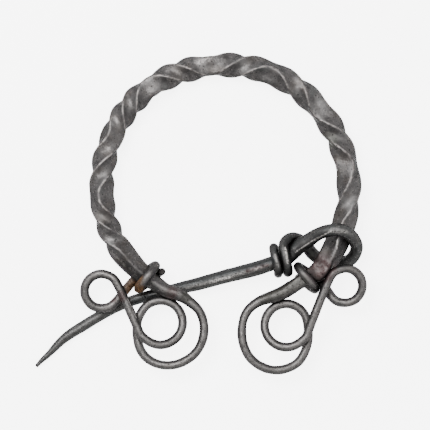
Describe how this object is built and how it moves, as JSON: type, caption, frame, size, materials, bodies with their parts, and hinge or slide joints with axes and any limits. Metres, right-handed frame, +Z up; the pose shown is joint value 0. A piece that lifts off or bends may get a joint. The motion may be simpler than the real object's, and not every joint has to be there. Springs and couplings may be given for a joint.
{
  "type": "penannular brooch",
  "caption": "Forged iron penannular brooch, a fibula: a twisted open ring whose ends are coiled into wire loops, with a loose tapered pin bent round the bar.",
  "frame": {"origin": "centre of the footprint, on the surface the brooch lies on", "axes": "+X across the ring, towards the side the pin's head is on; +Y away from the gap between the looped ends; +Z up, out of the face of the ring"},
  "size_m": [0.0826, 0.0802, 0.0124],
  "materials": {
    "ring_iron": "forged, worn and patinated dark grey-brown",
    "pin_iron": "forged, worn and patinated dark grey"
  },
  "bodies": {
    "pin_body": {"pin": "pin_iron"},
    "ring_body": {"ring": "ring_iron"}
  },
  "joints": [
    {"name": "pin_swing", "type": "hinge", "parent": "pin_body", "child": "ring_body", "pos_m": [0.034, -0.00712, 0.00619], "axis": [0.4185, 0.907, -0.0465], "range_deg": [0, 15]}
  ]
}
